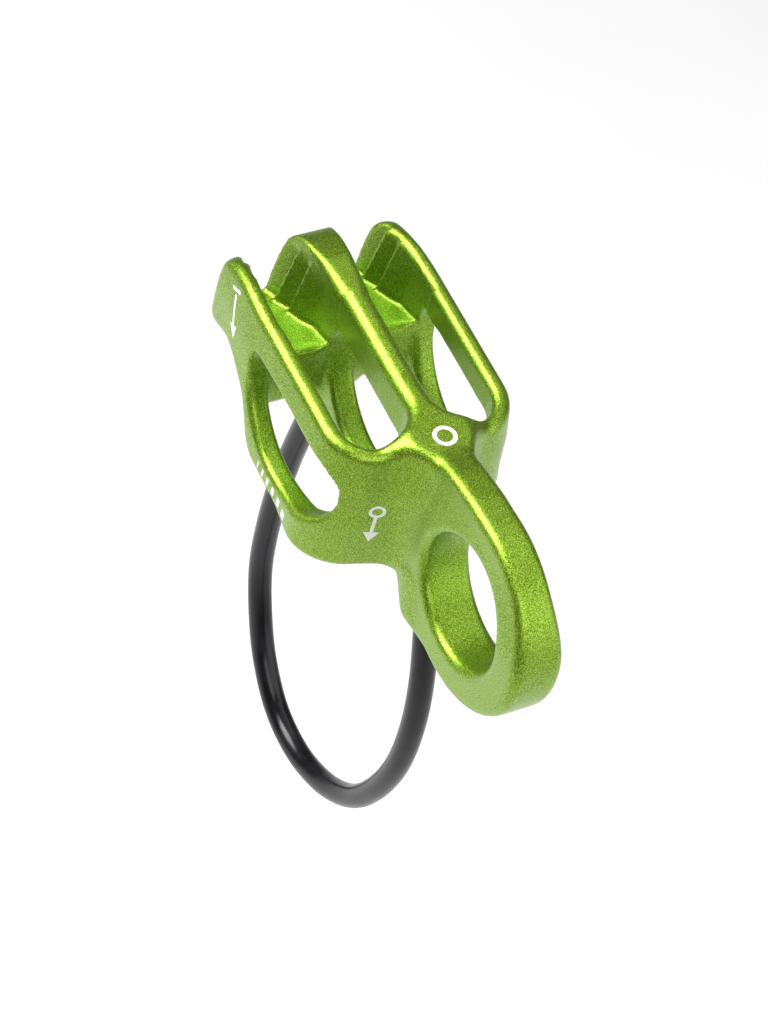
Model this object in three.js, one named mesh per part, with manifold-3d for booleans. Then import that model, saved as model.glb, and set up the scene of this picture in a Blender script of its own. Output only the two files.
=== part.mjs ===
// Guide-mode belay device: a forged aluminium body with two rope slots, and a coated wire keeper loop.
// Millimetres, +Z up out of the rope slots, -Y to the anchor eye, mirror plane x = 0.
// The origin is the middle of the anchor eye.
// Places on the body are given as a station, measured forward from its back edge, and a drop,
// measured down from the top edges of the side walls.
import * as THREE from 'three';
import { mergeVertices } from 'three/addons/utils/BufferGeometryUtils.js';
import { ConvexGeometry } from 'three/addons/geometries/ConvexGeometry.js';
import Module from 'manifold-3d';

// Anchor eye
const EYE_STATION = 68.7;
const EYE_DROP = 12.6;
const EYE_HOLE_RADIUS = 11.3;
const EYE_OUTER_RADIUS = 18.7;
const EYE_HALF_THICKNESS = 4.6;
const EYE_EDGE = 1.6;

// Walls, divider and rope slots
const WALL_OUTER = 17.6;
const WALL_INNER = 13.6;
const WALL_LEAN = 0.9;
const LEAN_DROP = 9;
const BACK_EDGE = -1.8;
const BACK_TAPER = 1.1;
const TAPER_END = 14;
const DIVIDER_HALF_THICKNESS = 2.4;
const DIVIDER_RISE = 2;
const WALL_EDGE = 1.1;
const SLOT_CENTRE = (WALL_INNER + DIVIDER_HALF_THICKNESS) / 2;
const SLOT_RADIUS = (WALL_INNER - DIVIDER_HALF_THICKNESS) / 2;
const SLOT_FRONT_CENTRE = 38.7;
const BELLY_DROP = 27.6;

// Front yoke, where the walls sweep in to the neck
const YOKE_BACK = 33;
const YOKE_RADIUS = 9.4;
const YOKE_FRONT = 51.5;
const YOKE_SWEEP = 1.42;
const YOKE_CROWN = 2.7;
const NECK_LIFT = 2.4;
const CROWN_REACH = 14;

// V-grooves: each friction panel is narrower than the one in front of it
const GROOVE_CENTRE = 8.3;
const GROOVE_BOTTOM_HALF = 2.6;
const GROOVE_TOP_HALF = 4.5;
const GROOVE_STEP = 0.7;
const GROOVE_LIFT = 0.3;
const PANEL_STARTS = [-3, 2.3, 6.3, 10.3];
const GROOVE_END = 16.6;
const FLOOR_BACK_DROP = 14.2;
const FLOOR_FRONT_DROP = 10.2;
const HEAD_HALF_WIDTH = 5;

// Release lug under the back wall
const RELEASE_STATION = 8.4;
const RELEASE_DROP = 20;
const RELEASE_RADIUS = 2.3;
const LUG_RADIUS = 4.4;
const LUG_HALF_THICKNESS = 3;

// Keeper loop
const JACKET_RADIUS = 2.2;
const JACKET_BORE = 1.3;
const WIRE_RADIUS = 0.31;
const STRAND_ORBIT = 0.8;
const STRAND_COUNT = 6;
const LAY_LENGTH = 45;
const BOSS_RADIUS = 4.3;
const BACK_BOSS_LENGTH = 12;
const FRONT_BOSS_LENGTH = 9;
const MOUTH_RADIUS = 3;
const SWING_CLEARANCE = 1.6;
const SOCKET_RADIUS = 2.3;
const SOCKET_DEPTH = 9.5;
const FERRULE_RADIUS = 2;
const FERRULE_LENGTH = 6;
const FERRULE_GAP = 3.2;
const FERRULE_BORE = 1.3;
const FERRULE_BORE_DEPTH = 4.5;

// Facets of the keeper: steps along it, and half the sides of the jacket and of a wire
const KEEPER_STEPS = 36;
const JACKET_SEGMENTS = 5;
const WIRE_SEGMENTS = 4;

// How far a cutter reaches past what it cuts
const PIERCE = 3;

// The route of the keeper's centreline, as stations and drops in the mirror plane
const KEEPER_ROUTE = [
  [14.2, 25], [12.8, 36], [11.1, 49.7], [10.5, 65.3], [11.9, 80.3], [15.5, 89.7], [20.8, 97.9], [28.5, 103.6],
  [37.6, 104.4], [47.3, 100.4], [55.6, 92.4], [60.6, 82.5], [63.9, 69.6], [64.2, 57.1], [62.3, 45.4], [57.6, 31],
];

const wasm = await Module();
wasm.setup();

const back = (station) => EYE_STATION - station;
const up = (drop) => EYE_DROP - drop;
const place = (x, station, drop) => new THREE.Vector3(x, back(station), up(drop));
const onSide = ([station, drop]) => new THREE.Vector2(back(station), up(drop));

function solid(geometry) {
  const bare = geometry.clone();
  bare.deleteAttribute('normal');
  bare.deleteAttribute('uv');
  const merged = mergeVertices(bare, 1e-4);
  return new wasm.Manifold(new wasm.Mesh({
    numProp: 3,
    vertProperties: new Float32Array(merged.attributes.position.array),
    triVerts: new Uint32Array(merged.index.array),
  }));
}

function toGeometry(manifold) {
  const mesh = manifold.getMesh();
  const geometry = new THREE.BufferGeometry();
  geometry.setAttribute('position', new THREE.BufferAttribute(new Float32Array(mesh.vertProperties), 3));
  geometry.setIndex(new THREE.BufferAttribute(new Uint32Array(mesh.triVerts), 1));
  const flat = geometry.toNonIndexed();
  flat.computeVertexNormals();
  return flat;
}

const joined = (solids) => solids.reduce((all, one) => all.add(one));

// An extrusion between two levels whose cap edges are rounded by edge, or flared when edge is negative
function roundedExtrusion(shape, length, edge, curveSegments = 10) {
  const size = Math.abs(edge);
  const geometry = new THREE.ExtrudeGeometry(shape, {
    depth: length - 2 * size,
    bevelEnabled: size > 0,
    bevelThickness: size,
    bevelSize: edge,
    bevelOffset: -edge,
    bevelSegments: 2,
    curveSegments,
  });
  return geometry.translate(0, 0, size);
}

// A side profile, drawn in Y and Z, extruded along X between two places
function acrossX(shape, from, to, edge = 0, curveSegments = 10) {
  const geometry = roundedExtrusion(shape, to - from, edge, curveSegments);
  const turn = new THREE.Matrix4().makeBasis(
    new THREE.Vector3(0, 1, 0),
    new THREE.Vector3(0, 0, 1),
    new THREE.Vector3(1, 0, 0),
  );
  return geometry.applyMatrix4(turn).translate(from, 0, 0);
}

// A plan, drawn in X and Y, extruded up from one level
function acrossZ(shape, from, length) {
  return roundedExtrusion(shape, length, 0).translate(0, 0, from);
}

function moveVertices(geometry, move) {
  const positions = geometry.attributes.position;
  const point = new THREE.Vector3();
  for (let i = 0; i < positions.count; i += 1) {
    point.fromBufferAttribute(positions, i);
    move(point);
    positions.setXYZ(i, point.x, point.y, point.z);
  }
  return geometry;
}

// The underside between the fins and the belly
function drawStrutBack(shape) {
  shape.splineThru([[15, 18.2], [17.6, 21.9], [19.6, 25.2], [22.4, 27.2], [26, BELLY_DROP]].map(onSide));
}

// The back edge, its rounded corner and the underside of a fin, up to the back of the strut
function drawFinBack(shape) {
  shape.lineTo(back(7.6), up(0));
  shape.quadraticCurveTo(back(BACK_EDGE), up(0.6), back(BACK_EDGE), up(6.2));
  shape.lineTo(back(BACK_EDGE + 1.5), up(14.4));
  shape.quadraticCurveTo(back(BACK_EDGE + 1.9), up(16.8), back(3.4), up(16.2));
  shape.quadraticCurveTo(back(8), up(14.4), back(11.5), up(15.6));
}

function wallShape() {
  const shape = new THREE.Shape();
  shape.moveTo(back(41), up(0));
  drawFinBack(shape);
  drawStrutBack(shape);
  shape.lineTo(back(41), up(BELLY_DROP));
  return shape;
}

function windowShape() {
  const shape = new THREE.Shape();
  shape.moveTo(back(20.4), up(6.2));
  shape.quadraticCurveTo(back(16), up(7.4), back(16.6), up(12));
  shape.splineThru([
    [18.6, 16.6], [22, 20.2], [26, 22.2], [30.5, 22.7], [35.5, 21.8], [40.3, 19.8], [43.8, 16.4], [45.2, 12],
  ].map(onSide));
  shape.quadraticCurveTo(back(45.6), up(6), back(41), up(5.8));
  return shape;
}

// The walls lean in towards their top edges, and their outsides taper in towards the back
function lean(point) {
  const high = THREE.MathUtils.smoothstep(point.z, up(LEAN_DROP), up(0));
  const outside = THREE.MathUtils.smoothstep(Math.abs(point.x), SLOT_CENTRE, WALL_INNER);
  const rearward = THREE.MathUtils.smoothstep(point.y, back(TAPER_END), back(BACK_EDGE));
  const outer = THREE.MathUtils.smoothstep(Math.abs(point.x), WALL_INNER, WALL_OUTER);
  point.x -= Math.sign(point.x) * (WALL_LEAN * high * outside + BACK_TAPER * rearward * outer);
}

function wall(side) {
  const geometry = moveVertices(acrossX(wallShape(), WALL_INNER, WALL_OUTER, WALL_EDGE, 6), lean);
  return side > 0 ? solid(geometry) : solid(geometry).mirror([1, 0, 0]);
}

// The divider's top edge and its rounded back corner
function drawDividerBack(shape) {
  shape.lineTo(back(6), up(-DIVIDER_RISE));
  shape.quadraticCurveTo(back(BACK_EDGE), up(-DIVIDER_RISE + 0.4), back(BACK_EDGE), up(5));
}

function divider() {
  const shape = new THREE.Shape();
  shape.moveTo(back(47), up(-3));
  shape.quadraticCurveTo(back(38), up(-DIVIDER_RISE), back(28), up(-DIVIDER_RISE));
  drawDividerBack(shape);
  shape.lineTo(back(BACK_EDGE + 1.5), up(14.6));
  shape.lineTo(back(11.5), up(15.6));
  drawStrutBack(shape);
  shape.lineTo(back(47), up(BELLY_DROP));
  return solid(acrossX(shape, -DIVIDER_HALF_THICKNESS, DIVIDER_HALF_THICKNESS, WALL_EDGE, 6));
}

// The block that the V-grooves are cut from, with the back wall under them
function backBlock() {
  const shape = new THREE.Shape();
  shape.moveTo(back(GROOVE_END - 1), up(1.5));
  shape.lineTo(back(GROOVE_END - 3), up(0));
  drawFinBack(shape);
  shape.splineThru([[15, 18.2], [17, 21.6], [18, 24.6]].map(onSide));
  shape.lineTo(back(18.6), up(24.4));
  shape.lineTo(back(17.6), up(17));
  shape.lineTo(back(GROOVE_END + 0.1), up(FLOOR_FRONT_DROP));
  const reach = WALL_INNER + 1.1 - WALL_LEAN;
  return solid(acrossX(shape, -reach, reach, 0, 5));
}

function dividerHead() {
  const shape = new THREE.Shape();
  shape.moveTo(back(15), up(-DIVIDER_RISE));
  drawDividerBack(shape);
  shape.lineTo(back(BACK_EDGE + 1.4), up(14));
  shape.lineTo(back(15), up(14));
  return solid(acrossX(shape, -HEAD_HALF_WIDTH, HEAD_HALF_WIDTH, 0, 5));
}

const floorDrop = (station) => (
  THREE.MathUtils.mapLinear(station, 0, GROOVE_END, FLOOR_BACK_DROP, FLOOR_FRONT_DROP)
);

function grooveSection(side, station, bottomHalf, topHalf, extraDrop) {
  const drop = floorDrop(station) - extraDrop;
  const corners = [[-bottomHalf, drop], [bottomHalf, drop], [topHalf, -PIERCE], [-topHalf, -PIERCE]];
  return corners.map(([x, d]) => place(side * (GROOVE_CENTRE + x), station, d));
}

// One V-groove: the stepped panels, then the part that opens out into the slot
function grooveCutter(side) {
  const pieces = PANEL_STARTS.slice(0, 3).map((start, i) => {
    const widen = i * GROOVE_STEP;
    const bottomHalf = GROOVE_BOTTOM_HALF + widen;
    const topHalf = GROOVE_TOP_HALF + widen;
    const lift = i * GROOVE_LIFT;
    return new ConvexGeometry([
      ...grooveSection(side, start, bottomHalf, topHalf, lift),
      ...grooveSection(side, PANEL_STARTS[i + 1] + 0.02, bottomHalf, topHalf, lift),
    ]);
  });
  const widen = 2 * GROOVE_STEP;
  const bottomHalf = GROOVE_BOTTOM_HALF + widen;
  const topHalf = GROOVE_TOP_HALF + widen;
  pieces.push(new ConvexGeometry([
    ...grooveSection(side, PANEL_STARTS[3], bottomHalf, topHalf, 2 * GROOVE_LIFT),
    ...grooveSection(side, GROOVE_END, SLOT_RADIUS - 0.5, SLOT_RADIUS + 0.4, 0),
    ...grooveSection(side, GROOVE_END + 4, SLOT_RADIUS - 0.5, SLOT_RADIUS + 0.4, 0),
  ]));
  return joined(pieces.map(solid));
}

const crown = (x) => YOKE_CROWN * Math.max(0, 1 - (x / CROWN_REACH) ** 2);

const neckLift = (x) => NECK_LIFT * Math.max(0, 1 - (x / YOKE_RADIUS) ** 2);

// The plan of the yoke: the walls' front corners swept round the slot ends and in to the neck
function yokeShape() {
  const neck = EYE_HALF_THICKNESS - 0.4;
  const centre = WALL_OUTER - YOKE_RADIUS;
  const arcBack = back(SLOT_FRONT_CENTRE);
  const sweepX = centre + YOKE_RADIUS * Math.cos(YOKE_SWEEP);
  const sweepY = arcBack - YOKE_RADIUS * Math.sin(YOKE_SWEEP);
  const shape = new THREE.Shape();
  shape.moveTo(WALL_OUTER, back(YOKE_BACK));
  shape.lineTo(WALL_OUTER, arcBack);
  shape.absarc(centre, arcBack, YOKE_RADIUS, 0, -YOKE_SWEEP, true);
  shape.quadraticCurveTo(neck, sweepY, neck, back(YOKE_FRONT));
  shape.lineTo(-neck, back(YOKE_FRONT));
  shape.quadraticCurveTo(-neck, sweepY, -sweepX, sweepY);
  shape.absarc(-centre, arcBack, YOKE_RADIUS, Math.PI + YOKE_SWEEP, Math.PI, true);
  shape.lineTo(-WALL_OUTER, back(YOKE_BACK));
  return shape;
}

function yoke() {
  const height = BELLY_DROP;
  const geometry = roundedExtrusion(yokeShape(), height, WALL_EDGE, 9).translate(0, 0, up(BELLY_DROP));
  moveVertices(geometry, (point) => {
    lean(point);
    if (point.z > up(WALL_EDGE + 0.1)) point.z += crown(point.x);
    if (point.z < up(BELLY_DROP - WALL_EDGE - 0.1)) point.z += neckLift(point.x);
  });
  return solid(geometry);
}

// One rope slot, open at the top and the bottom
function slotCutter(side) {
  const shape = new THREE.Shape();
  shape.moveTo(SLOT_CENTRE + SLOT_RADIUS, back(GROOVE_END + 0.3));
  shape.lineTo(SLOT_CENTRE + SLOT_RADIUS, back(SLOT_FRONT_CENTRE));
  shape.absarc(SLOT_CENTRE, back(SLOT_FRONT_CENTRE), SLOT_RADIUS, 0, -Math.PI, true);
  shape.lineTo(SLOT_CENTRE - SLOT_RADIUS, back(GROOVE_END + 0.3));
  const cutter = solid(acrossZ(shape, up(BELLY_DROP + PIERCE), BELLY_DROP + YOKE_CROWN + 2 * PIERCE));
  return side > 0 ? cutter : cutter.mirror([1, 0, 0]);
}

// The neck and the ring of the anchor eye
function ringShape() {
  const shape = new THREE.Shape();
  const start = THREE.MathUtils.degToRad(100);
  shape.moveTo(back(43.6), up(-2.6));
  shape.lineTo(back(43.6), up(26));
  shape.lineTo(back(49), up(25.2));
  shape.quadraticCurveTo(back(52.6), up(24.6), back(54.2), up(27.6));
  shape.quadraticCurveTo(back(56.6), up(31.6), back(61), up(31.9));
  const end = Math.atan2(up(30.8), back(64.8));
  shape.absarc(0, 0, EYE_OUTER_RADIUS, end, start - 2 * Math.PI, true);
  shape.quadraticCurveTo(back(54), up(-4.8), back(43.6), up(-2.6));
  return shape;
}

function ring() {
  const shape = ringShape();
  const hole = new THREE.Path();
  hole.absarc(0, 0, EYE_HOLE_RADIUS, 0, 2 * Math.PI, false);
  shape.holes.push(hole);
  return solid(acrossX(shape, -EYE_HALF_THICKNESS, EYE_HALF_THICKNESS, EYE_EDGE, 14));
}

function releaseLug() {
  const shape = new THREE.Shape();
  shape.moveTo(back(2), up(13));
  shape.lineTo(back(RELEASE_STATION - LUG_RADIUS), up(RELEASE_DROP));
  shape.absarc(back(RELEASE_STATION), up(RELEASE_DROP), LUG_RADIUS, 0, -Math.PI / 2 - 0.2, true);
  shape.lineTo(back(16), up(23));
  shape.lineTo(back(16), up(13));
  return solid(acrossX(shape, -LUG_HALF_THICKNESS, LUG_HALF_THICKNESS, 0.6, 8));
}

function releaseHole() {
  const shape = new THREE.Shape();
  shape.absarc(back(RELEASE_STATION), up(RELEASE_DROP), RELEASE_RADIUS, 0, 2 * Math.PI, false);
  return solid(acrossX(shape, -LUG_HALF_THICKNESS - PIERCE, LUG_HALF_THICKNESS + PIERCE, 0, 10));
}

// The two ends of the keeper: the middle of each socket's mouth, and the way out of it
function keeperEnds() {
  const points = KEEPER_ROUTE.map(([station, drop]) => place(0, station, drop));
  const last = points.length - 1;
  return [
    { mouth: points[0], out: points[1].clone().sub(points[0]).normalize() },
    { mouth: points[last], out: points[last - 1].clone().sub(points[last]).normalize() },
  ];
}

// A round bar from one distance to another along a socket's way out
function barOnSocket({ mouth, out }, from, to, radius, sides = 18) {
  const geometry = new THREE.CylinderGeometry(radius, radius, to - from, sides);
  const turn = new THREE.Quaternion().setFromUnitVectors(new THREE.Vector3(0, 1, 0), out);
  const middle = mouth.clone().addScaledVector(out, (from + to) / 2);
  return solid(geometry.applyQuaternion(turn).translate(middle.x, middle.y, middle.z));
}

// A socket, the bowl at its mouth, and the room past the mouth that the keeper swings in
function socketCutter(end) {
  const bowl = new THREE.SphereGeometry(MOUTH_RADIUS, 16, 8).translate(end.mouth.x, end.mouth.y, end.mouth.z);
  const room = barOnSocket(end, 0, BOSS_RADIUS, JACKET_RADIUS + SWING_CLEARANCE);
  return joined([solid(bowl), barOnSocket(end, -SOCKET_DEPTH, 0, SOCKET_RADIUS), room]);
}

function body() {
  const ends = keeperEnds();
  const bosses = [
    barOnSocket(ends[0], -BACK_BOSS_LENGTH, 0, BOSS_RADIUS),
    barOnSocket(ends[1], -FRONT_BOSS_LENGTH, 0, BOSS_RADIUS),
  ];
  const walls = joined([wall(1), wall(-1), divider(), yoke()]);
  const blank = joined([walls, backBlock(), dividerHead()]);
  const withGrooves = blank.subtract(grooveCutter(1)).subtract(grooveCutter(-1));
  const windows = solid(acrossX(windowShape(), -WALL_OUTER - 0.1, WALL_OUTER + 0.1, -WALL_EDGE, 6));
  const open = withGrooves.subtract(slotCutter(1)).subtract(slotCutter(-1)).subtract(windows);
  const whole = joined([open, ring(), releaseLug(), ...bosses]);
  return whole.subtract(releaseHole()).subtract(joined(ends.map(socketCutter)));
}

const keeperCurve = new THREE.CatmullRomCurve3(
  KEEPER_ROUTE.map(([station, drop]) => place(0, station, drop)),
  false,
  'centripetal',
);

// A wire laid round the keeper's centreline
class StrandCurve extends THREE.Curve {
  constructor(phase) {
    super();
    this.phase = phase;
    this.turns = keeperCurve.getLength() / LAY_LENGTH;
  }

  getPoint(t, target = new THREE.Vector3()) {
    const centre = keeperCurve.getPointAt(t);
    const along = keeperCurve.getTangentAt(t);
    const sideways = new THREE.Vector3(1, 0, 0);
    const normal = new THREE.Vector3().crossVectors(along, sideways);
    const angle = this.phase + 2 * Math.PI * this.turns * t;
    return target.copy(centre)
      .addScaledVector(sideways, STRAND_ORBIT * Math.cos(angle))
      .addScaledVector(normal, STRAND_ORBIT * Math.sin(angle));
  }
}

// A closed tube along a curve. A full circle gets twice curveSegments sides
function tube(curve, radius, curveSegments, bore = 0) {
  const shape = new THREE.Shape();
  shape.absarc(0, 0, radius, 0, 2 * Math.PI, false);
  if (bore > 0) {
    const hole = new THREE.Path();
    hole.absarc(0, 0, bore, 0, 2 * Math.PI, true);
    shape.holes.push(hole);
  }
  return new THREE.ExtrudeGeometry(shape, {
    steps: KEEPER_STEPS,
    curveSegments,
    extrudePath: curve,
    bevelEnabled: false,
  });
}

function ferrule(end) {
  const outer = barOnSocket(end, -FERRULE_GAP - FERRULE_LENGTH, -FERRULE_GAP, FERRULE_RADIUS);
  const bore = barOnSocket(end, -FERRULE_GAP - FERRULE_BORE_DEPTH, -FERRULE_GAP + 1, FERRULE_BORE, 12);
  return outer.subtract(bore);
}

function part(name, geometry, color, metalness, roughness) {
  const mesh = new THREE.Mesh(geometry, new THREE.MeshStandardMaterial({ color, metalness, roughness }));
  mesh.name = name;
  return mesh;
}

const group = new THREE.Group();
group.name = 'belay_device';
group.add(part('body', toGeometry(body()), 0x86b22a, 0.7, 0.45));
const jacket = tube(keeperCurve, JACKET_RADIUS, JACKET_SEGMENTS, JACKET_BORE);
const core = tube(keeperCurve, WIRE_RADIUS, WIRE_SEGMENTS);
group.add(part('keeper_jacket', toGeometry(solid(jacket)), 0x17171a, 0, 0.45));
group.add(part('wire_core', toGeometry(solid(core)), 0x9a9da0, 1, 0.35));
for (let i = 0; i < STRAND_COUNT; i += 1) {
  const strand = new StrandCurve(2 * Math.PI * i / STRAND_COUNT);
  const geometry = toGeometry(solid(tube(strand, WIRE_RADIUS, WIRE_SEGMENTS)));
  group.add(part(`wire_strand_${i + 1}`, geometry, 0x9a9da0, 1, 0.35));
}
['ferrule_back', 'ferrule_front'].forEach((name, i) => {
  group.add(part(name, toGeometry(ferrule(keeperEnds()[i])), 0xb4b6b8, 1, 0.3));
});

export default group;
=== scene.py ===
# Looks for the guide-mode belay device: a forged, bead-blasted and lime-anodised body with a coated
# wire keeper. Lengths named in capitals are millimetres, unless their comment says otherwise.
# A place on the body is (x, station, drop). The station is measured forward from near the back edge,
# and the drop down from the side walls' top edges.
import math

import bpy
import numpy as np
import openvdb
from mathutils import Matrix, Vector
from mathutils.bvhtree import BVHTree


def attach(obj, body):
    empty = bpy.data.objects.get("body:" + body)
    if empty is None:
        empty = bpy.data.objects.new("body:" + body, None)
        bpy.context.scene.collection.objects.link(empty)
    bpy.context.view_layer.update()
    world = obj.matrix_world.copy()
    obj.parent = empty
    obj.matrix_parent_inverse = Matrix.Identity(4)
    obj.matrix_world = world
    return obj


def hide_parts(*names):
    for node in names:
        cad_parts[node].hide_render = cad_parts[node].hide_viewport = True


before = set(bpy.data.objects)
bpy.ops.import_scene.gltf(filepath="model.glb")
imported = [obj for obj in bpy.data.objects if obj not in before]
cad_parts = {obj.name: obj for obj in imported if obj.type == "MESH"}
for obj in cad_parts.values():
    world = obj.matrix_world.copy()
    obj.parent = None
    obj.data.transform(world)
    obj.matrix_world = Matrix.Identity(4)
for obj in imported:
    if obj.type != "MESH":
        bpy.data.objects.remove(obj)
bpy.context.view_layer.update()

MM = 0.001

# Anchor eye and neck
EYE_STATION = 68.7
EYE_DROP = 12.6
EYE_HOLE_RADIUS = 11.3
EYE_OUTER_RADIUS = 18.7
EYE_HALF_THICKNESS = 4.6
EYE_EDGE = 1.6

# Side walls, divider and rope slots
WALL_OUTER = 17.6
WALL_INNER = 13.6
DIVIDER_HALF_THICKNESS = 2.4
SLOT_CENTRE = (WALL_INNER + DIVIDER_HALF_THICKNESS) / 2
SLOT_RADIUS = (WALL_INNER - DIVIDER_HALF_THICKNESS) / 2
SLOT_FRONT_CENTRE = 38.7
BACK_EDGE = -1.8
BELLY_DROP = 27.6
NECK_DROP = 24.6
TOP_EDGE = 1.4
BACK_TAPER = 1.1
TAPER_END = 14
BACK_CORNER = 3.0
OUTER_EDGE = 1.5
WINDOW_HEAD_EDGE = 0.3
WINDOW_SILL_EDGE = 1.3
DRAFT_INSET = 1.2
DRAFT_START = 9
DRAFT_END = -3
BLAST_SPREAD = 0.35

# Front yoke, seen from above
YOKE_RADIUS = 9.4
YOKE_CENTRE = 38.5
NECK_FILLET = 7.0
YOKE_SWELL = 1.0

# V-grooves
GROOVE_CENTRE = 8.3
FLOOR_BACK_DROP = 14.2
FLOOR_FRONT_DROP = 10.2
GROOVE_END = 16.6
BACK_WALL_LEAN = 0.123
GROOVE_FLOOR_EDGE = 0.9
GROOVE_OVERRUN = 1
SIDE_FILLET = 0.2
LIP_FILLET = 2.2
TEETH_TOP = 0.5
TEETH_FULL = 3.0

# Release lug, keeper and its sockets
RELEASE_STATION = 8.4
RELEASE_DROP = 20
RELEASE_RADIUS = 2.3
RELEASE_EDGE = 0.4
LUG_RADIUS = 4.4
LUG_HALF_THICKNESS = 3
LUG_EDGE = 0.9
LUG_FILLET = 1.5
JACKET_RADIUS = 2.2
BOSS_RADIUS = 4.3
BOSS_FILLET = 2
BACK_BOSS_LENGTH = 12
FRONT_BOSS_LENGTH = 9
BAR_END_EDGE = 0.4
MOUTH_RADIUS = 3
MOUTH_EDGE = 0.3
SWING_CLEARANCE = 1.6
SOCKET_RADIUS = 2.3
SOCKET_DEPTH = 9.5
SOCKET_EDGE = 0.1

# The route of the keeper's centreline, as stations and drops in the mirror plane
KEEPER_ROUTE = [
    (14.2, 25), (12.8, 36), (11.1, 49.7), (10.5, 65.3),
    (11.9, 80.3), (15.5, 89.7), (20.8, 97.9), (28.5, 103.6),
    (37.6, 104.4), (47.3, 100.4), (55.6, 92.4), (60.6, 82.5),
    (63.9, 69.6), (64.2, 57.1), (62.3, 45.4), (57.6, 31),
]

# Printed marks: their stroke, how far the ink stands up, how far it reaches into the body, how finely
# it follows the surface, how far above the surface its rays start, and an arrow's tip
STROKE = 0.55
INK_HEIGHT = 0.03
INK_ROOT = 0.06
INK_PITCH = 0.3
RAY_START = 8
ARROW_TIP = 0.05
LOAD_MARK_PLACE = (8.0, 47.1, 15)
BRAKE_MARK_PLACE = (-17, 8.0, 6.9)
SCALE_MARK_PLACE = (-17.6, 31.4, 25.0)
WEB_MARK_PLACE = (0.2, 47.4, -3)
WEB_MARK_RADIUS = 1.7
WEB_MARK_STROKE = 0.7

# Bars of the rope scale: where each one stands along the scale, and how wide it is
SCALE_BARS = [(-5.5, 0.3), (-3.7, 0.5), (-1.8, 0.7), (0.3, 0.9), (2.6, 1.1), (5.1, 1.3)]

# The body's mesh: its fineness, the space left around the body, and the body's lowest drop
VOXEL = 0.39
MARGIN = 3
DEEPEST_DROP = 34

# Camera, floor and sky: places in metres, and the sensor in millimetres
CAMERA_PLACE = Vector((-0.24417, -0.25408, 0.45832))
CAMERA_RIGHT = Vector((0.88121, -0.42952, 0.19746))
CAMERA_DOWN = Vector((-0.24435, -0.77142, -0.58754))
FOCAL_RATIO = 3.5547
SENSOR = 36
FLOOR_HEIGHT = -0.30
FLOOR_HALF = 3.0
FLOOR_GLOW = 0.15
SKY_GLOW = 0.12

# Where the lights look, as x, station and drop
LIT_PLACE = (0, 45, 35)

# Each light's name, direction from there, distance and size in metres, and power in watts
LIGHTS = [
    ("key", (-0.53, 0.47, 0.71), 0.7, 0.42, 9),
    ("front", (-0.25, -0.75, 0.60), 0.9, 0.6, 3.5),
    ("right", (0.60, -0.70, 0.35), 0.9, 1.0, 5),
    ("top", (0.35, 0.10, 0.93), 0.9, 0.9, 3),
]


def row_point(x, station, drop):
    """A place on the body as a point of the row frame, in metres."""
    return Vector((x, EYE_STATION - station, EYE_DROP - drop)) * MM


# ---------------------------------------------------------------- camera, floor and lights

def make_camera():
    data = bpy.data.cameras.new("camera")
    data.sensor_width = SENSOR
    data.lens = FOCAL_RATIO * SENSOR
    data.clip_start = 0.01
    data.clip_end = 20
    camera = bpy.data.objects.new("camera", data)
    bpy.context.scene.collection.objects.link(camera)
    upward = -CAMERA_DOWN
    backward = CAMERA_RIGHT.cross(upward)
    turn = Matrix((CAMERA_RIGHT, upward, backward)).transposed()
    camera.matrix_world = Matrix.Translation(CAMERA_PLACE) @ turn.to_4x4()
    bpy.context.scene.camera = camera


def mesh_object(name, vertices, faces, material=None, smooth=True):
    mesh = bpy.data.meshes.new(name)
    mesh.from_pydata(vertices, [], faces)
    mesh.update()
    if smooth:
        mesh.polygons.foreach_set("use_smooth", [True] * len(mesh.polygons))
    if material:
        mesh.materials.append(material)
    piece = bpy.data.objects.new(name, mesh)
    bpy.context.scene.collection.objects.link(piece)
    return piece


def aim_light(name, direction, distance, size, power):
    """A soft square light that looks at the middle of the object from one direction."""
    data = bpy.data.lights.new(name, "AREA")
    data.size = size
    data.energy = power
    light = bpy.data.objects.new(name, data)
    bpy.context.scene.collection.objects.link(light)
    way = Vector(direction).normalized()
    light.location = row_point(*LIT_PLACE) + way * distance
    light.rotation_mode = "QUATERNION"
    light.rotation_quaternion = way.to_track_quat("Z", "Y")


def make_studio():
    world = bpy.data.worlds.new("studio")
    world.use_nodes = True
    background = world.node_tree.nodes["Background"]
    background.inputs["Color"].default_value = (1, 1, 1, 1)
    background.inputs["Strength"].default_value = SKY_GLOW
    bpy.context.scene.world = world
    bpy.context.scene.view_settings.view_transform = "Standard"
    for name, direction, distance, size, power in LIGHTS:
        aim_light(name, direction, distance, size, power)


def make_floor():
    """A wide pale floor well below the object, which hangs over it."""
    corners = [
        (x * FLOOR_HALF, y * FLOOR_HALF, FLOOR_HEIGHT)
        for x, y in ((-1, -1), (1, -1), (1, 1), (-1, 1))
    ]
    floor = mesh_object("floor", corners, [(0, 1, 2, 3)], floor_material(), smooth=False)


# ---------------------------------------------------------------- materials

def new_material(name):
    material = bpy.data.materials.new(name)
    material.use_nodes = True
    nodes = material.node_tree.nodes
    return material, nodes, material.node_tree.links, nodes["Principled BSDF"]


def object_place(nodes):
    return nodes.new("ShaderNodeTexCoord").outputs["Object"]


def noise(nodes, links, place, size, detail=2.0, roughness=0.5):
    """A noise texture whose features are about one size across, in millimetres."""
    texture = nodes.new("ShaderNodeTexNoise")
    texture.inputs["Scale"].default_value = 1 / (size * MM)
    texture.inputs["Detail"].default_value = detail
    texture.inputs["Roughness"].default_value = roughness
    links.new(place, texture.inputs["Vector"])
    return texture.outputs["Fac"]


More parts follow.
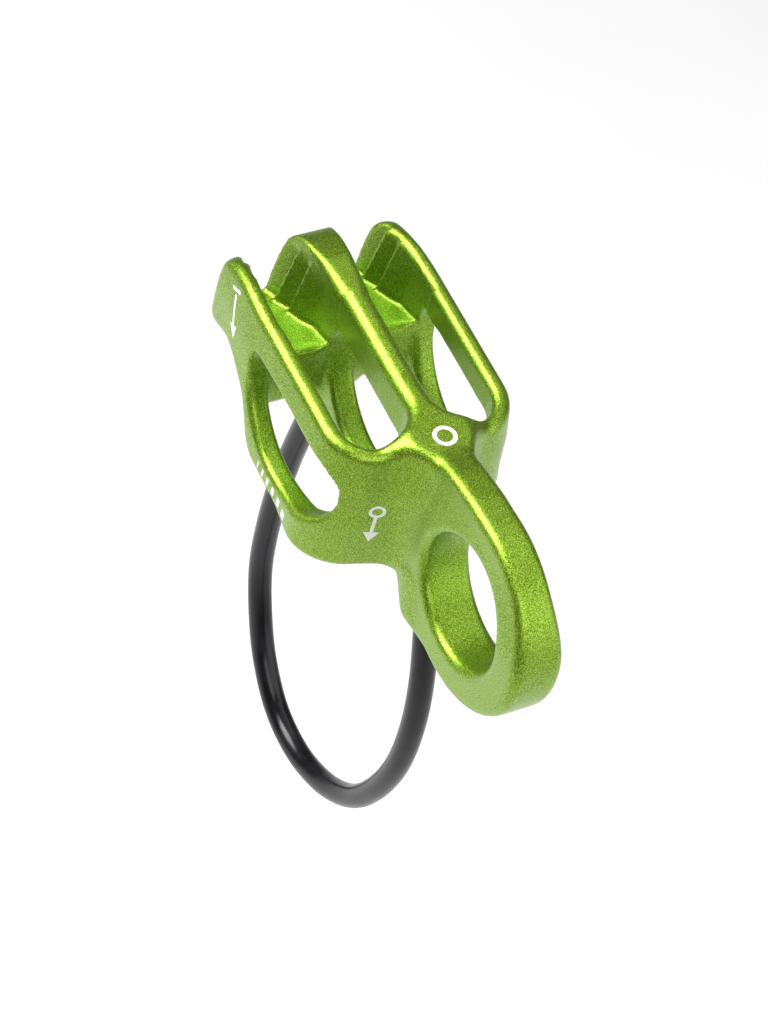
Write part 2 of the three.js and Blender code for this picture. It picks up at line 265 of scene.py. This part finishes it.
def ramp(nodes, links, value, stops):
    """A colour ramp through (position, colour) stops."""
    node = nodes.new("ShaderNodeValToRGB")
    elements = node.color_ramp.elements
    while len(elements) < len(stops):
        elements.new(0.5)
    for element, (position, colour) in zip(elements, stops):
        element.position = position
        element.color = (*colour, 1)
    links.new(value, node.inputs["Fac"])
    return node.outputs["Color"]


def spread(nodes, links, value, low, high, start=0.3, end=0.7):
    """A value in start to end, spread over low to high."""
    node = nodes.new("ShaderNodeMapRange")
    node.inputs["From Min"].default_value = start
    node.inputs["From Max"].default_value = end
    node.inputs["To Min"].default_value = low
    node.inputs["To Max"].default_value = high
    links.new(value, node.inputs["Value"])
    return node.outputs["Result"]


def bump(nodes, links, shader, height, distance, strength):
    """Relief from a height texture, so many millimetres deep."""
    node = nodes.new("ShaderNodeBump")
    node.inputs["Distance"].default_value = distance * MM
    node.inputs["Strength"].default_value = strength
    links.new(height, node.inputs["Height"])
    links.new(node.outputs["Normal"], shader.inputs["Normal"])


def anodised_material():
    """Fine bead-blasted aluminium under clear lime dye: a grainy, satin metal."""
    material, nodes, links, shader = new_material("lime_anodised")
    place = object_place(nodes)
    grain = noise(nodes, links, place, 0.17, 1.0, 0.6)
    drift = noise(nodes, links, place, 9, 2.0, 0.5)
    colour = ramp(nodes, links, grain, [
        (0.36, (0.085, 0.175, 0.001)),
        (0.50, (0.190, 0.340, 0.003)),
        (0.66, (0.430, 0.630, 0.080)),
    ])
    tone = ramp(nodes, links, drift, [(0.3, (0.93, 0.95, 0.9)), (0.7, (1, 1, 1))])
    mix = nodes.new("ShaderNodeMix")
    mix.data_type = "RGBA"
    mix.blend_type = "MULTIPLY"
    mix.inputs["Factor"].default_value = 1
    links.new(colour, mix.inputs["A"])
    links.new(tone, mix.inputs["B"])
    links.new(mix.outputs["Result"], shader.inputs["Base Color"])
    links.new(spread(nodes, links, grain, 0.34, 0.50), shader.inputs["Roughness"])
    shader.inputs["Metallic"].default_value = 0.92
    shader.inputs["Coat Weight"].default_value = 0.5
    shader.inputs["Coat Roughness"].default_value = 0.3
    shader.inputs["Coat IOR"].default_value = 1.4
    bump(nodes, links, shader, grain, 0.06, 0.5)
    return material


def jacket_material():
    """Smooth black plastic, faintly cloudy, with a very fine relief."""
    material, nodes, links, shader = new_material("black_jacket")
    place = object_place(nodes)
    cloud = noise(nodes, links, place, 6, 3.0)
    fine = noise(nodes, links, place, 0.4, 2.0)
    colour = ramp(nodes, links, cloud, [(0.35, (0.004, 0.004, 0.005)), (0.65, (0.010, 0.009, 0.012))])
    links.new(colour, shader.inputs["Base Color"])
    links.new(spread(nodes, links, cloud, 0.20, 0.30), shader.inputs["Roughness"])
    shader.inputs["Specular IOR Level"].default_value = 0.3
    bump(nodes, links, shader, fine, 0.02, 0.12)
    return material


def ink_material():
    """White pad-printed ink, slightly worn."""
    material, nodes, links, shader = new_material("white_ink")
    place = object_place(nodes)
    wear = noise(nodes, links, place, 0.5, 3.0)
    colour = ramp(nodes, links, wear, [(0.25, (0.62, 0.66, 0.55)), (0.45, (0.86, 0.87, 0.84))])
    links.new(colour, shader.inputs["Base Color"])
    links.new(spread(nodes, links, wear, 0.5, 0.7), shader.inputs["Roughness"])
    bump(nodes, links, shader, wear, 0.02, 0.2)
    return material


def steel_material(name, size, tint):
    """Bright steel with drawn or swaged texture."""
    material, nodes, links, shader = new_material(name)
    place = object_place(nodes)
    marks = noise(nodes, links, place, size, 3.0, 0.6)
    colour = ramp(nodes, links, marks, [(0.3, tuple(0.8 * c for c in tint)), (0.7, tint)])
    links.new(colour, shader.inputs["Base Color"])
    links.new(spread(nodes, links, marks, 0.22, 0.42), shader.inputs["Roughness"])
    shader.inputs["Metallic"].default_value = 1
    bump(nodes, links, shader, marks, 0.02, 0.3)
    return material


def floor_material():
    material, nodes, links, shader = new_material("pale_floor")
    place = object_place(nodes)
    colour = ramp(nodes, links, noise(nodes, links, place, 60, 2.0), [
        (0.3, (0.72, 0.72, 0.72)),
        (0.7, (0.74, 0.74, 0.74)),
    ])
    links.new(colour, shader.inputs["Base Color"])
    shader.inputs["Roughness"].default_value = 0.9
    shader.inputs["Emission Color"].default_value = (1, 1, 1, 1)
    shader.inputs["Emission Strength"].default_value = FLOOR_GLOW
    return material


# ---------------------------------------------------------------- keeper loop

def smooth_path(points, per_span=12):
    """Points along the centripetal Catmull-Rom curve through a list of points."""
    points = [np.array(p, float) for p in points]
    ends = [2 * points[0] - points[1], *points, 2 * points[-1] - points[-2]]
    out = []
    for i in range(len(points) - 1):
        p0, p1, p2, p3 = ends[i:i + 4]
        t1 = np.linalg.norm(p1 - p0) ** 0.5
        t2 = t1 + np.linalg.norm(p2 - p1) ** 0.5
        t3 = t2 + np.linalg.norm(p3 - p2) ** 0.5
        for t in np.linspace(t1, t2, per_span, endpoint=False):
            a1 = (p0 * (t1 - t) + p1 * t) / t1
            a2 = (p1 * (t2 - t) + p2 * (t - t1)) / (t2 - t1)
            a3 = (p2 * (t3 - t) + p3 * (t - t2)) / (t3 - t2)
            b1 = (a1 * (t2 - t) + a2 * t) / t2
            b2 = (a2 * (t3 - t) + a3 * (t - t1)) / (t3 - t1)
            out.append((b1 * (t2 - t) + b2 * (t - t1)) / (t2 - t1))
    out.append(points[-1])
    return out


def make_keeper():
    points = [row_point(0, station, drop) for station, drop in smooth_path(KEEPER_ROUTE)]
    data = bpy.data.curves.new("keeper_loop", "CURVE")
    data.dimensions = "3D"
    data.bevel_depth = JACKET_RADIUS * MM
    data.bevel_resolution = 8
    data.use_fill_caps = True
    spline = data.splines.new("POLY")
    spline.points.add(len(points) - 1)
    for target, point in zip(spline.points, points):
        target.co = (*point, 1)
    spline.use_smooth = True
    data.materials.append(jacket_material())
    keeper = bpy.data.objects.new("keeper_loop", data)
    bpy.context.scene.collection.objects.link(keeper)
    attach(keeper, "keeper")
    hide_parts("keeper_jacket")


# ---------------------------------------------------------------- forged body

def grid_axis(low, high):
    steps = math.ceil((high - low + 2 * MARGIN) / VOXEL)
    return low - MARGIN + VOXEL * np.arange(steps + 1)


HALF_COUNT = round((WALL_OUTER + MARGIN) / VOXEL)
WIDTHS = VOXEL * np.arange(-HALF_COUNT, HALF_COUNT + 1)
STATIONS = grid_axis(BACK_EDGE, EYE_STATION + EYE_OUTER_RADIUS)
DROPS = grid_axis(EYE_DROP - EYE_OUTER_RADIUS, DEEPEST_DROP)
X = np.abs(WIDTHS)[:, None, None]
S = STATIONS[None, :, None]
D = DROPS[None, None, :]


def both(a, b, edge):
    """What two fields share, with its convex edge rounded to a radius."""
    return np.minimum(-edge, np.maximum(a, b)) + np.hypot(np.maximum(edge + a, 0), np.maximum(edge + b, 0))


def either(a, b, fillet):
    """Two fields joined, with a fillet of that radius in the corner between them."""
    return -both(-a, -b, fillet)


def without(a, b, edge):
    """The first field less the second, with the new edge rounded to a radius."""
    return both(a, -b, edge)


def step(value, start, end):
    """0 before start, 1 after end, and smooth between."""
    t = np.clip((value - start) / (end - start), 0, 1)
    return t * t * (3 - 2 * t)


def outline(points, first, second):
    """The signed distance to a closed outline, at every pair of the two coordinates."""
    corners = np.array(points, float)
    u = first[:, None]
    v = second[None, :]
    nearest = np.full((len(first), len(second)), np.inf)
    inside = np.zeros(nearest.shape, bool)
    for (u0, v0), (u1, v1) in zip(corners, np.roll(corners, -1, axis=0)):
        du, dv = u1 - u0, v1 - v0
        along = np.clip(((u - u0) * du + (v - v0) * dv) / (du * du + dv * dv), 0, 1)
        nearest = np.minimum(nearest, np.hypot(u - u0 - along * du, v - v0 - along * dv))
        if dv:
            crosses = (v0 <= v) != (v1 <= v)
            inside ^= crosses & (u < u0 + (v - v0) / dv * du)
    return np.where(inside, -nearest, nearest)


def arc(centre, radius, start, end, steps=24):
    """Points on an arc in two coordinates, from one angle to another in degrees."""
    angles = np.radians(np.linspace(start, end, steps))
    return [(centre[0] + radius * math.cos(a), centre[1] + radius * math.sin(a)) for a in angles]


def soften(field, spread_mm):
    """A field blurred a little, as blasting and tumbling round every edge."""
    sigma = spread_mm / VOXEL
    reach = math.ceil(3 * sigma)
    offsets = range(-reach, reach + 1)
    weights = np.array([math.exp(-0.5 * (i / sigma) ** 2) for i in offsets])
    weights /= weights.sum()
    for axis in range(3):
        field = sum(weight * np.roll(field, i, axis) for weight, i in zip(weights, offsets))
    return field


def draft(drops):
    """How far the outside leans in towards the top, for the forging die."""
    return DRAFT_INSET * step(-drops, -DRAFT_START, -DRAFT_END)


def taper(stations):
    """How far the walls' outsides taper in towards the back."""
    return BACK_TAPER * (1 - step(stations, BACK_EDGE, TAPER_END))


def side_profile():
    """The fins' back edge, the underside and the belly, open at the top and the front."""
    underside = smooth_path([
        (3.2, 16.2), (5.6, 15.1), (8, 14.4), (11.5, 15.6), (15, 18.1), (17.6, 21.8), (19.6, 25.2),
        (22.3, 27.2), (26, BELLY_DROP), (31, BELLY_DROP + 0.1), (38, BELLY_DROP + 0.3), (45, 27.4),
        (52, NECK_DROP + 1.4), (58, 22),
    ], 5)
    back_edge = [
        (BACK_EDGE, -12), (BACK_EDGE, 8), (BACK_EDGE + 0.9, 14.4), (BACK_EDGE + 1.9, 16.1), (1.6, 16.6),
    ]
    return outline([*back_edge, *underside, (70, 15), (70, -12)], STATIONS, DROPS)[None]


def plan_profile():
    """The walls, the yoke and the neck from above, with a concave sweep from the yoke to the neck."""
    centre = WALL_OUTER - YOKE_RADIUS
    hollow = EYE_HALF_THICKNESS + NECK_FILLET
    reach = YOKE_RADIUS + NECK_FILLET
    hollow_station = YOKE_CENTRE + math.sqrt(reach ** 2 - (hollow - centre) ** 2)
    meeting = math.degrees(math.atan2(hollow_station - YOKE_CENTRE, hollow - centre))
    half = [(WALL_OUTER, -9)]
    half += arc((centre, YOKE_CENTRE), YOKE_RADIUS, 0, meeting)
    half += arc((hollow, hollow_station), NECK_FILLET, meeting - 180, -180)[1:]
    half += [(EYE_HALF_THICKNESS, 56)]
    mirrored = [(-x, station) for x, station in reversed(half)]
    return outline(half + mirrored, WIDTHS, STATIONS)[:, :, None]


def yoke_flare():
    """How far the yoke's corners swell out towards the belly."""
    return YOKE_SWELL * step(D, 4, 20) * step(S, 32, 42) * step(X, 5, 9)


def top_drop():
    """The drop of the top surface: walls at 0, and the divider, the web and the neck above them."""
    rise = np.interp(S, [0, 33, 41, 50], [2, 2.1, 2.7, 3.2])
    round_off = np.interp(S, [-1.8, -1.2, -0.2, 1, 2.4, 4.2, 6, 8], [6, 4, 2.9, 2.0, 1.3, 0.7, 0.3, 0])
    return round_off - rise * (1 - step(X, 4.5, 10.5))


def envelope():
    """The body without its slots, windows and eye."""
    profile = both(side_profile(), top_drop() - D, TOP_EDGE)
    sides = both(plan_profile() + taper(S) + draft(D) - yoke_flare(), BACK_EDGE - S, BACK_CORNER)
    return both(profile, sides, OUTER_EDGE)


def eye_plate():
    """The neck and the ring, before the hole is cut."""
    top = smooth_path([(43, -2.6), (50, -3.2), (56, -4.7), (62, -5.7)], 5)
    ring = arc((EYE_STATION, EYE_DROP), EYE_OUTER_RADIUS, -97, 102, 60)
    underside = smooth_path([
        (60.4, 31.6), (56.6, 30.6), (54.3, 28.4), (52.4, 26.5), (49, 26.2), (43, 26),
    ], 5)
    side = outline([*top, *ring, *underside], STATIONS, DROPS)[None]
    return both(side, X - EYE_HALF_THICKNESS + draft(D), EYE_EDGE)


def rope_channel():
    """A rope slot and its V-groove, which is wider at its top and has saw-tooth friction panels."""
    # Half widths at the groove's floor and at its top, then the teeth, station by station
    bottom = np.interp(S, [-3, 2.3, 7, 9, 11.2, 17], [1.8, 2.5, 3.5, 3.9, 5.2, 5.6])
    top = np.interp(S, [-3, 3, 10, 17], [4.7, 5.0, 5.4, 5.6])
    teeth = np.interp(S, [-2, 2.3, 2.6, 5.8, 6.1, 8.4], [-0.3, 0.5, -0.4, 0.5, -0.3, 0])
    floor = np.interp(S, [0, GROOVE_END], [FLOOR_BACK_DROP, FLOOR_FRONT_DROP])
    reach = bottom + (top - bottom) * np.minimum((floor - D) / floor, 1)
    beside = np.abs(X - GROOVE_CENTRE) - reach
    sides = beside - teeth * step(D, TEETH_TOP, TEETH_FULL)
    groove = both(both(sides, D - floor, GROOVE_FLOOR_EDGE), S - GROOVE_END - GROOVE_OVERRUN, 0.5)
    plan = np.hypot(X - SLOT_CENTRE, np.maximum(S - SLOT_FRONT_CENTRE, 0)) - SLOT_RADIUS
    back_wall = GROOVE_END + BACK_WALL_LEAN * (D - FLOOR_FRONT_DROP) - S
    fillet = SIDE_FILLET + (LIP_FILLET - SIDE_FILLET) * step(-beside, 0.4, 2.4)
    return either(groove, both(plan, back_wall, 1.0), fillet)


def channel_edge():
    """How round the channel's rims are: the divider's ridge is a full round, its head is crisper."""
    ridge = np.interp(S, [0, 5, 15, 38, 45], [0.6, 0.9, 2.2, 2.2, 1.4])
    wall = np.interp(S, [0, 8], [1.1, 1.5])
    return ridge + (wall - ridge) * step(X, 5, 11)


def window():
    """The opening through both walls and the divider."""
    sill = smooth_path([
        (16.6, 12), (18.6, 16.6), (22, 20.2), (26, 22.2), (30.5, 22.7), (35.5, 21.8), (40.3, 19.8),
        (43.8, 16.4), (45.2, 12),
    ], 5)
    head = smooth_path([
        (45.2, 12), (44.6, 8.2), (41.4, 6), (36, 5.8), (20, 5.9), (16.4, 6.6), (15.9, 8.6), (16.6, 12),
    ], 5)
    return outline(sill[:-1] + head[:-1], STATIONS, DROPS)[None]


def window_edge():
    """The window's rim is crisp along its head and round along its sill."""
    return WINDOW_HEAD_EDGE + (WINDOW_SILL_EDGE - WINDOW_HEAD_EDGE) * step(D, 10, 15)


def bar(mouth, out, start, end, radius):
    """A round bar along a socket's way out, in stations and drops."""
    along = (S - mouth[0]) * out[0] + (D - mouth[1]) * out[1]
    across = (S - mouth[0]) * out[1] - (D - mouth[1]) * out[0]
    middle = (start + end) / 2
    return both(np.hypot(X, across) - radius, np.abs(along - middle) - (end - start) / 2, BAR_END_EDGE)


def ball(station, drop, radius):
    return np.sqrt(X ** 2 + (S - station) ** 2 + (D - drop) ** 2) - radius


def release_lug():
    nose = arc((RELEASE_STATION, RELEASE_DROP), LUG_RADIUS, 180, 78)
    hull = outline([(2.6, 13), *nose, (16, 23), (16, 13)], STATIONS, DROPS)[None]
    return both(hull, X - LUG_HALF_THICKNESS, LUG_EDGE)


def release_hole():
    return np.hypot(S - RELEASE_STATION, D - RELEASE_DROP) - RELEASE_RADIUS


def eye_hole():
    return np.hypot(S - EYE_STATION, D - EYE_DROP) - EYE_HOLE_RADIUS


def keeper_ends():
    """For each socket: its mouth, the way the keeper leaves it, and the length of its boss."""
    ends = []
    for mouth, after, length in (
        (KEEPER_ROUTE[0], KEEPER_ROUTE[1], BACK_BOSS_LENGTH),
        (KEEPER_ROUTE[-1], KEEPER_ROUTE[-2], FRONT_BOSS_LENGTH),
    ):
        way = np.array(after) - mouth
        ends.append((mouth, way / np.linalg.norm(way), length))
    return ends


def body_field():
    """The whole body: blank, lug and bosses, then its slots, windows, holes and sockets."""
    shell = np.minimum(envelope(), eye_plate())
    shell = either(shell, release_lug(), LUG_FILLET)
    for mouth, out, length in keeper_ends():
        shell = either(shell, bar(mouth, out, -length, 0, BOSS_RADIUS), BOSS_FILLET)
    shell = soften(shell, BLAST_SPREAD)
    shell = without(shell, rope_channel(), channel_edge())
    shell = without(shell, window(), window_edge())
    shell = without(shell, eye_hole(), EYE_EDGE)
    shell = without(shell, release_hole(), RELEASE_EDGE)
    room = JACKET_RADIUS + SWING_CLEARANCE
    for mouth, out, _ in keeper_ends():
        shell = without(shell, bar(mouth, out, -SOCKET_DEPTH, 0, SOCKET_RADIUS), SOCKET_EDGE)
        shell = without(shell, ball(*mouth, MOUTH_RADIUS), MOUTH_EDGE)
        shell = without(shell, bar(mouth, out, 0, BOSS_RADIUS, room), SOCKET_EDGE)
    return shell


def make_body():
    field = np.ascontiguousarray(body_field(), dtype=np.float32)
    grid = openvdb.FloatGrid()
    grid.copyFromArray(field)
    points, quads = grid.convertToQuads(0)
    places = [
        row_point(WIDTHS[0] + VOXEL * i, STATIONS[0] + VOXEL * j, DROPS[0] + VOXEL * k)
        for i, j, k in points
    ]
    body = mesh_object("forged_body", places, quads.tolist(), anodised_material())
    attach(body, "forging")
    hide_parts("body")
    return body


# ---------------------------------------------------------------- printed marks

def dense(path):
    """A path in two coordinates with extra points, so that it can follow a curved surface."""
    out = []
    for (u0, v0), (u1, v1) in zip(path, path[1:]):
        steps = max(1, math.ceil(math.hypot(u1 - u0, v1 - v0) / INK_PITCH))
        out += [(u0 + (u1 - u0) * i / steps, v0 + (v1 - v0) * i / steps) for i in range(steps)]
    return [*out, path[-1]]


def ink_strip(surface, lay, toward, path, widths):
    """Vertices and faces of a thin closed strip of ink along a path, as wide as widths at its ends.

    Each place on the path has four vertices: the top and the root of one side, then of the other.
    """
    path = dense(path)
    closed = path[0] == path[-1]
    count = len(path) - 1 if closed else len(path)
    vertices = []
    for i in range(count):
        u, v = path[i]
        if i:
            before = path[i - 1]
        else:
            before = path[-2] if closed else path[0]
        after = path[i + 1] if i + 1 < len(path) else path[i]
        way = Vector((after[0] - before[0], after[1] - before[1])).normalized()
        half = (widths[0] + (widths[1] - widths[0]) * i / (len(path) - 1)) / 2
        for side in (-half, half):
            start = lay(u - way.y * side, v + way.x * side) + toward * RAY_START * MM
            hit, normal, _, _ = surface.ray_cast(start, -toward)
            vertices += [hit + normal * INK_HEIGHT * MM, hit - normal * INK_ROOT * MM]
    faces = []
    for i in range(count if closed else count - 1):
        a = 4 * i
        b = 4 * ((i + 1) % count)
        faces += [
            (a, a + 2, b + 2, b),
            (a + 2, a + 3, b + 3, b + 2),
            (a + 3, a + 1, b + 1, b + 3),
            (a + 1, a, b, b + 1),
        ]
    if not closed:
        last = 4 * (count - 1)
        faces += [(0, 1, 3, 2), (last, last + 2, last + 3, last + 1)]
    return vertices, faces


def print_mark(name, surface, ink, centre, across, down, strokes):
    """One printed mark: strokes in its own across and down coordinates, laid on around a centre."""
    across = Vector(across).normalized()
    down = Vector(down).normalized()
    toward = down.cross(across).normalized()
    middle = row_point(*centre)

    def lay(u, v):
        return middle + (across * u + down * v) * MM

    vertices = []
    faces = []
    for path, widths in strokes:
        strip, strip_faces = ink_strip(surface, lay, toward, path, widths)
        faces += [tuple(index + len(vertices) for index in face) for face in strip_faces]
        vertices += strip
    mark = mesh_object(name, vertices, faces, ink, smooth=False)
    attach(mark, "forging")


def ring_stroke(u, v, radius, width):
    return [*arc((u, v), radius, 0, 360, 28)[:-1], (u + radius, v)], (width, width)


def line_stroke(start, end, width):
    return [start, end], (width, width)


def arrow_head(start, end, width):
    return [start, end], (width, ARROW_TIP)


def load_strokes():
    """An arrow hanging from a ring: the side that takes the load."""
    return [
        ring_stroke(0, -2.9, 1.1, STROKE),
        line_stroke((0, -1.5), (0, 2.2), STROKE),
        arrow_head((0, 2.0), (0, 4.4), 2.6),
    ]


def brake_strokes():
    """An arrow under a bar: the brake side."""
    return [
        line_stroke((-1.4, -4.2), (1.4, -4.2), STROKE),
        line_stroke((0, -3.4), (0, 2.2), STROKE),
        arrow_head((0, 2.0), (0, 4.4), 2.4),
    ]


def scale_strokes():
    """Bars of growing width: a scale of rope thicknesses."""
    return [line_stroke((u, -0.8), (u, 0.8), width) for u, width in SCALE_BARS]


def make_marks(body):
    """Plain marks of no maker."""
    mesh = body.data
    surface = BVHTree.FromPolygons([v.co for v in mesh.vertices], [p.vertices for p in mesh.polygons])
    ink = ink_material()
    x, station, drop = LOAD_MARK_PLACE
    for side, name in ((-1, "mark_load_left"), (1, "mark_load_right")):
        place = (side * x, station, drop)
        print_mark(name, surface, ink, place, (0.8, side * 0.6, 0), (0, 0, -1), load_strokes())
    print_mark("mark_brake", surface, ink, BRAKE_MARK_PLACE, (0, -0.91, 0.42), (0, -0.42, -0.91),
               brake_strokes())
    print_mark("mark_scale", surface, ink, SCALE_MARK_PLACE, (0, -1, 0), (0, 0, -1), scale_strokes())
    circle = [ring_stroke(0, 0, WEB_MARK_RADIUS, WEB_MARK_STROKE)]
    print_mark("mark_web", surface, ink, WEB_MARK_PLACE, (1, 0, 0), (0, -1, 0), circle)


def dress_cad_nodes():
    """Steel for the keeper's wires and ferrules, which stay as they are."""
    wire_steel = steel_material("drawn_wire", 0.15, (0.62, 0.63, 0.64))
    ferrule_steel = steel_material("swaged_steel", 0.4, (0.70, 0.71, 0.72))
    for name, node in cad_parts.items():
        if name.startswith("wire"):
            node.data.materials.clear()
            node.data.materials.append(wire_steel)
        if name.startswith("ferrule"):
            node.data.materials.clear()
            node.data.materials.append(ferrule_steel)


# ---------------------------------------------------------------- build

make_camera()
make_keeper()
make_studio()
make_floor()
body = make_body()
make_marks(body)
dress_cad_nodes()
